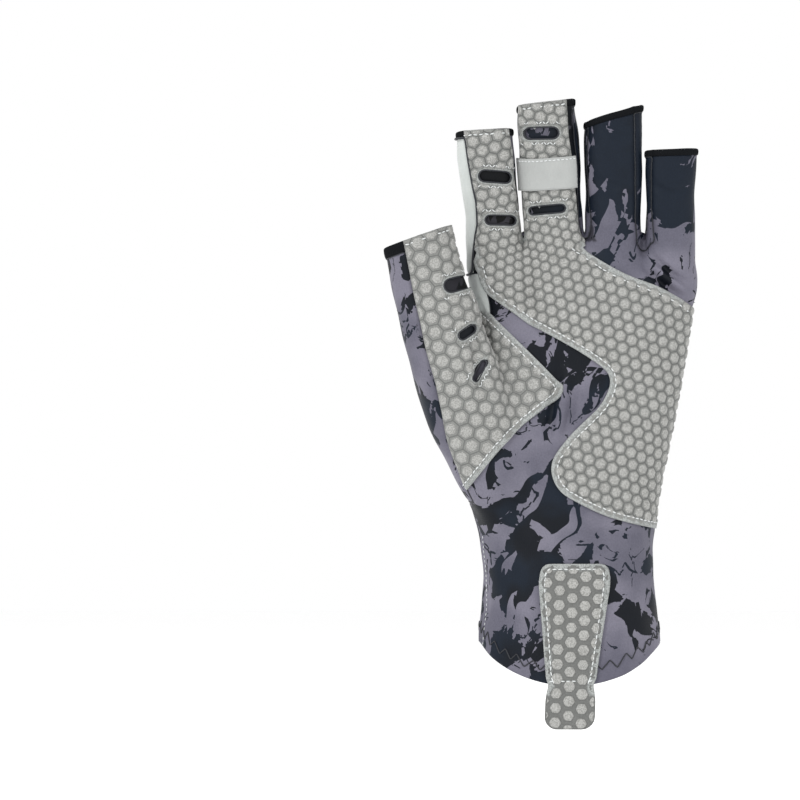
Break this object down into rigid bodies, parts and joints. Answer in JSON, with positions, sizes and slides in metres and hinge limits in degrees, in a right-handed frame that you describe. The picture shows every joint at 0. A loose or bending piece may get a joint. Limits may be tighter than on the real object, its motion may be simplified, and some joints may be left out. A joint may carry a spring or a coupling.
{
  "type": "fingerless fishing glove",
  "caption": "Left-hand stretch fishing glove with cut-off fingers, open cuff, hexagon grip patches over palm and thumb, joint slots, finger strap and cuff pull tab.",
  "frame": {"origin": "middle of the cuff's mouth, level with the foot of the side seams, where the wrist holds the glove", "axes": "+Z along the hand towards the finger ends, palm towards -Y, back of the hand towards +Y, thumb towards -X"},
  "size_m": [0.1249, 0.0566, 0.2509],
  "materials": {
    "camo_cloth": "smooth knitted stretch cloth, satin, grey with dark slate shards",
    "grip_suede": "matt grey synthetic suede with raised hexagonal pads",
    "plain_suede": "matt light grey synthetic suede",
    "black_hem": "matt black ribbed hem"
  },
  "bodies": {
    "root": {"back_panel": "camo_cloth", "palm_panel": "camo_cloth", "thumb_panel": "camo_cloth", "side_panel_index_middle": "camo_cloth", "side_panel_middle_ring": "camo_cloth", "side_panel_ring_little": "camo_cloth", "index_side_panel": "plain_suede", "web_patch": "plain_suede", "hem_index": "black_hem", "hem_middle": "black_hem", "hem_ring": "black_hem", "hem_little": "black_hem", "hem_thumb": "black_hem", "palm_grip_patch": "grip_suede", "thumb_grip_patch": "grip_suede", "finger_pull_strap": "plain_suede", "cuff_pull_tab": "grip_suede"}
  },
  "joints": []
}
